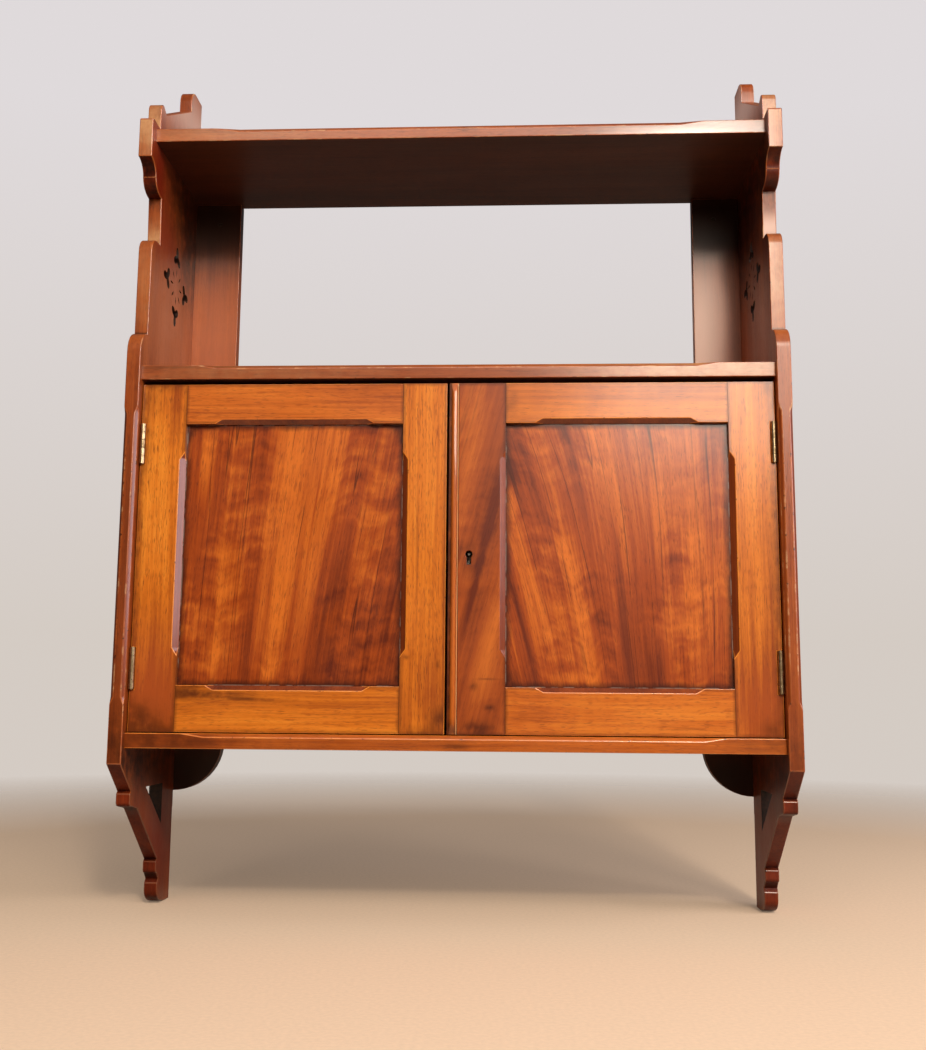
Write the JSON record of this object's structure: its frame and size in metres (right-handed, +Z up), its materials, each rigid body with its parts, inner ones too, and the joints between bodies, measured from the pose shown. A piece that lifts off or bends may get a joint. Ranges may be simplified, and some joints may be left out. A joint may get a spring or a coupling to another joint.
{
  "type": "hanging wall cabinet",
  "caption": "Wooden hanging wall cabinet with shaped, pierced sides, a top shelf, an open shelf and a panelled cupboard closed by hinged, locking doors.",
  "frame": {"origin": "on the wall plane at the rear face of the middle back board, centred between the sides, at the middle of the doors' height", "axes": "+X to the viewer's right along the width, +Y from the front towards the wall, +Z up"},
  "size_m": [0.65, 0.188, 0.9025],
  "materials": {
    "side_wood": "French-polished red mahogany",
    "shelf_wood": "French-polished dark mahogany",
    "frame_wood": "French-polished golden mahogany",
    "panel_wood": "French-polished figured mahogany",
    "back_wood": "plain stained boards, dull",
    "brass": "dull aged brass",
    "lock_iron": "dark worn iron"
  },
  "bodies": {
    "carcass": {"left_side": "side_wood", "right_side": "side_wood", "top_shelf": "shelf_wood", "middle_shelf": "shelf_wood", "bottom_board": "shelf_wood", "left_back_stile": "back_wood", "right_back_stile": "back_wood", "back_board_left": "back_wood", "back_board_middle": "back_wood", "back_board_right": "back_wood", "inner_shelf": "back_wood", "left_shelf_bearer": "back_wood", "right_shelf_bearer": "back_wood", "left_door_stop": "back_wood", "right_door_stop": "back_wood", "left_upper_hinge_side_leaf": "brass", "left_upper_hinge_pin": "brass", "left_lower_hinge_side_leaf": "brass", "left_lower_hinge_pin": "brass", "right_upper_hinge_side_leaf": "brass", "right_upper_hinge_pin": "brass", "right_lower_hinge_side_leaf": "brass", "right_lower_hinge_pin": "brass"},
    "left_door": {"left_door_hinge_stile": "frame_wood", "left_door_meeting_stile": "frame_wood", "left_door_top_rail": "frame_wood", "left_door_bottom_rail": "frame_wood", "left_door_panel": "panel_wood", "left_upper_hinge_door_leaf": "brass", "left_lower_hinge_door_leaf": "brass", "lock_strike": "brass", "left_door_upper_bolt_plate": "brass", "left_door_lower_bolt_plate": "brass"},
    "right_door": {"right_door_hinge_stile": "frame_wood", "right_door_lock_stile": "frame_wood", "right_door_top_rail": "frame_wood", "right_door_bottom_rail": "frame_wood", "right_door_bead": "frame_wood", "right_door_panel": "panel_wood", "right_upper_hinge_door_leaf": "brass", "right_lower_hinge_door_leaf": "brass", "lock_case": "lock_iron"},
    "lock_bolt": {"lock_bolt": "brass"},
    "upper_bolt": {"left_door_upper_bolt": "brass"},
    "lower_bolt": {"left_door_lower_bolt": "brass"}
  },
  "joints": [
    {"name": "left_door_hinge", "type": "hinge", "parent": "carcass", "child": "left_door", "pos_m": [-0.308, -0.1782, 0], "axis": [0, 0, -1], "range_deg": [0, 105]},
    {"name": "right_door_hinge", "type": "hinge", "parent": "carcass", "child": "right_door", "pos_m": [0.308, -0.1782, 0], "axis": [0, 0, 1], "range_deg": [0, 105]},
    {"name": "lock_bolt_slide", "type": "slide", "parent": "right_door", "child": "lock_bolt", "axis": [-1, 0, 0], "range_m": [0, 0.008]},
    {"name": "upper_bolt_slide", "type": "slide", "parent": "left_door", "child": "upper_bolt", "axis": [0, 0, 1], "range_m": [0, 0.01]},
    {"name": "lower_bolt_slide", "type": "slide", "parent": "left_door", "child": "lower_bolt", "axis": [0, 0, -1], "range_m": [0, 0.008]}
  ]
}
